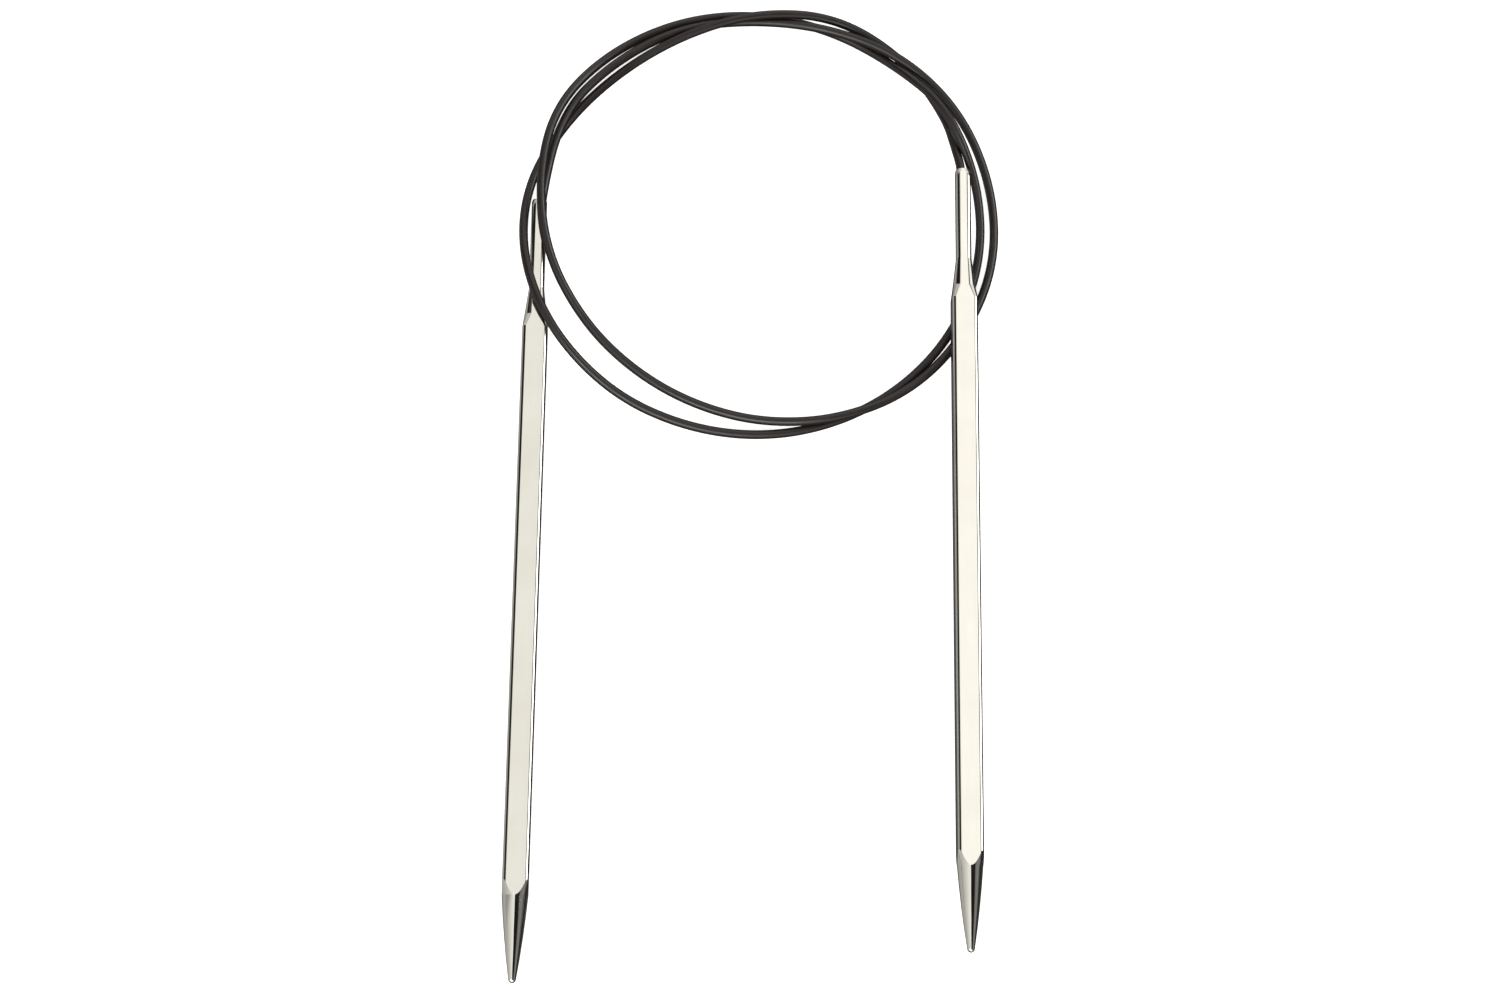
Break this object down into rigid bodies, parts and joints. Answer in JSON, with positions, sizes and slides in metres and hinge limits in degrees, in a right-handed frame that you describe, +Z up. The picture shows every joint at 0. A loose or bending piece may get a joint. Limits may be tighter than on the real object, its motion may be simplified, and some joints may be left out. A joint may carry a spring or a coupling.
{
  "type": "circular knitting needle",
  "caption": "Two hollow squared metal needles with round points, joined by a flexible cable that swivels in their thin necks and lies in loose loops.",
  "frame": {"origin": "on the table, under the middle of the two needles' bounding box, the cable left out", "axes": "+Z up from the table, +Y from the points towards the cable, +X from the left needle to the right one"},
  "size_m": [0.0784, 0.1571, 0.0072],
  "materials": {
    "needle_metal": "mirror-polished nickel plating",
    "plug_metal": "polished flush with the nose",
    "ferrule_metal": "crimped bare metal",
    "cable_nylon": "semi-matte extruded nylon"
  },
  "bodies": {
    "cable": {"cable_loops": "cable_nylon", "left_cable_stub": "cable_nylon", "left_ferrule": "ferrule_metal"},
    "left_needle": {"left_needle_tube": "needle_metal", "left_nose_plug": "plug_metal"},
    "right_flex": {"right_flex_outer": "cable_nylon"},
    "right_anchor": {"right_flex_inner": "cable_nylon", "right_cable_stub": "cable_nylon", "right_ferrule": "ferrule_metal"},
    "right_needle": {"right_needle_tube": "needle_metal", "right_nose_plug": "plug_metal"}
  },
  "joints": [
    {"name": "left_swivel", "type": "hinge", "parent": "cable", "child": "left_needle", "pos_m": [-0.03155, 0.05989, 0.002], "axis": [0.0314, 0.9995, 0], "continuous": true},
    {"name": "right_swing", "type": "hinge", "parent": "cable", "child": "right_flex", "pos_m": [0.0332, 0.0743, 0.0027], "axis": [0, 0, -1], "range_deg": [0, 5], "stiffness_Nm_per_rad": 0.02, "deforming": ["right_flex_outer"]},
    {"name": "right_lift", "type": "hinge", "parent": "right_flex", "child": "right_anchor", "pos_m": [0.03445, 0.0683, 0.0045], "axis": [-0.9998, 0.0175, 0], "range_deg": [0, 25], "stiffness_Nm_per_rad": 0.02, "deforming": ["right_flex_inner"]},
    {"name": "right_swivel", "type": "hinge", "parent": "right_anchor", "child": "right_needle", "pos_m": [0.03541, 0.06402, 0.00549], "axis": [0.0174, 0.9994, 0.0314], "continuous": true}
  ]
}
